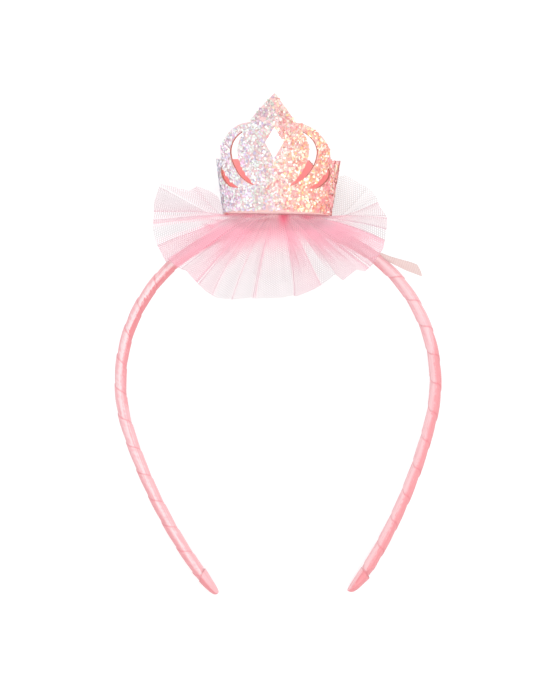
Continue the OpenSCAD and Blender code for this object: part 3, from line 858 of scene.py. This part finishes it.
# Label
def ribbon_label(material):
    """Cream label sewn in under the wrap, folded double along its upper edge."""
    def shape(along, across):
        part = 1 - abs(2 * across - 1) * 2
        # The end is cut slanting, and its upper corner is worn round
        x = -1.5 + along * (19.6 - 3.4 * ((part + 1) / 2) ** 1.6)
        width = 2.4 + 1.4 * eased((x - 3) / 10)
        y = width / 2 * part
        level = 0.9 - 0.5 * math.sin(math.radians(x * 12)) - (x / 11) ** 2
        level += 0.22 * math.copysign(1, across - 0.5) * (1 - max(0, math.cos(across * 2 * math.pi)) ** 4)
        level += 0.12 * noise.noise(Vector((x * 0.4, y * 0.5, across)))
        return Vector((x, y, level)), Vector((x, across * 8)), PLAIN

    bm = laid_grid(48, 24, shape)
    place = FRONT @ Matrix.Translation((42.8, 48.9, 0)) @ Matrix.Rotation(math.radians(-22), 4, "Z")
    made = piece("label_ribbon", bm, place, [material])
    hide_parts("ribbon_label")
    return made


# The whole headband
satin = satin_ribbon()
band_core(satin)
ribbon_wrap(satin)
tip_fold(-1, satin)
tip_fold(1, satin)
wall, outside = crown_sheet(glitter_base(), coated_backing(), die_cut_edge())
crown_glitter(wall, outside, glitter_flake())
crown_lip(rolled_lip())
felt_disc(craft_felt())
ribbon_label(label_ribbon())

# Each tulle's second colour is its painted grey shade, for a ply alone and for the hub in the crown's shade
pale_tulle = nylon_tulle("nylon tulle, pale", "CF91A0", "989094")
pink_tulle = nylon_tulle("nylon tulle, pink", "D08D9C", "BCA5AF")
tulle_ply("tulle_long", "tulle_top", pale_tulle, ply=0, hole=(4, 4), cut=LONG_CUT,
          pleats=LONG_PLEATS, first=-110, last=250, thin=0.32, thick=0.66)
tulle_ply("tulle_mid", "tulle_middle", pink_tulle, ply=1, hole=(17, 7.5), cut=MID_CUT,
          pleats=MID_PLEATS, first=-125, last=125, thin=0.18, thick=0.56)
tulle_ply("tulle_short", "tulle_bottom", pink_tulle, ply=2, hole=(25.5, 10), cut=SHORT_CUT,
          pleats=SHORT_PLEATS, first=-114, last=114, thin=0.1, thick=0.55)


# Floor, light and camera
def floor():
    """A plain table of frosted acrylic that glows by its own emission, as if lit from below, so that
    shadows stay faint. A painted pool of light, as from a lamp under it, glows a little stronger behind the
    crown."""
    bm = bmesh.new()
    bmesh.ops.create_grid(bm, x_segments=1, y_segments=1, size=1.5)
    mesh = bpy.data.meshes.new("floor")
    bm.to_mesh(mesh)
    bm.free()
    made, tree, shader = finish("acrylic sheet, frosted")
    place = add(tree, "TexCoord").outputs["Object"]
    tone = add(tree, "TexNoise", {"Vector": place, "Scale": 3.0}).outputs["Fac"]
    colour = add(tree, "Mix", {0: tone, 6: srgb("B4B4B4"), 7: srgb("B8B8B8")}, data_type="RGBA")
    tree.links.new(colour.outputs[2], shader.inputs["Base Color"])
    shader.inputs["Roughness"].default_value = 0.9
    shader.inputs["Emission Color"].default_value = srgb("FFFFFF")
    # The bright spot has a radius of 25 mm, and its middle is 82 mm up from the headband's
    glow = add(tree, "Mapping", {"Vector": place, "Location": (0, -3.3, 0), "Scale": (40, 40, 40)})
    glow = add(tree, "TexGradient", {0: glow.outputs[0]}, gradient_type="SPHERICAL").outputs[0]
    glow = add(tree, "MapRange", {"Value": glow, "To Min": 0.52, "To Max": 0.72}).outputs[0]
    tree.links.new(glow, shader.inputs["Emission Strength"])
    mesh.materials.append(made)
    sheet = bpy.data.objects.new("floor", mesh)
    bpy.context.scene.collection.objects.link(sheet)


def lamp(name, place, size, power, colour):
    """A square soft light at a place in the front view, in metres, aimed at the middle."""
    light = bpy.data.lights.new(name, "AREA")
    light.size, light.energy, light.color = size, power, colour
    made = bpy.data.objects.new(name, light)
    at = LIE @ Vector(place)
    aim = (LIE @ Vector((0, 0.02, 0)) - at).to_track_quat("-Z", "Y").to_matrix().to_4x4()
    made.matrix_world = Matrix.Translation(at) @ aim
    made.visible_camera = False
    bpy.context.scene.collection.objects.link(made)


floor()
lamp("front light", (0.05, 0.08, 0.95), 0.5, 2.8, (1, 1, 1))
lamp("top light", (-0.12, 0.75, 0.5), 0.4, 2.6, (1, 0.995, 0.99))
lamp("low fill", (0.03, -0.4, 0.7), 0.4, 2.4, (1, 0.99, 0.99))
lamp("right fill", (0.75, 0.1, 0.4), 0.4, 2.1, (1, 0.99, 0.98))
lamp("left fill", (-0.75, 0.0, 0.45), 0.4, 1.2, (1, 1, 1))
room = bpy.data.worlds.new("studio")
room.use_nodes = True
room.node_tree.nodes["Background"].inputs["Color"].default_value = (1, 1, 1, 1)
room.node_tree.nodes["Background"].inputs["Strength"].default_value = 0.5
scene = bpy.context.scene
scene.world = room
scene.view_settings.view_transform = "Standard"
scene.cycles.transparent_max_bounces = 32

# The photograph looks square on to the band's plane from 0.77 m, and a pixel of its
# 552 is 0.4 mm wide there. The headband is turned 1.83 degrees to the left in it.
distance, seen_width = 0.77, 552 * 0.0004
camera = bpy.data.cameras.new("camera")
camera.sensor_fit, camera.sensor_width = "HORIZONTAL", 36
camera.lens = 36 * distance / seen_width
eye = bpy.data.objects.new("camera", camera)
eye.matrix_world = (LIE @ Matrix.Translation((-0.00035, 0.01453, distance))
                    @ Matrix.Rotation(math.radians(-1.83), 4, "Z"))
scene.collection.objects.link(eye)
scene.camera = eye
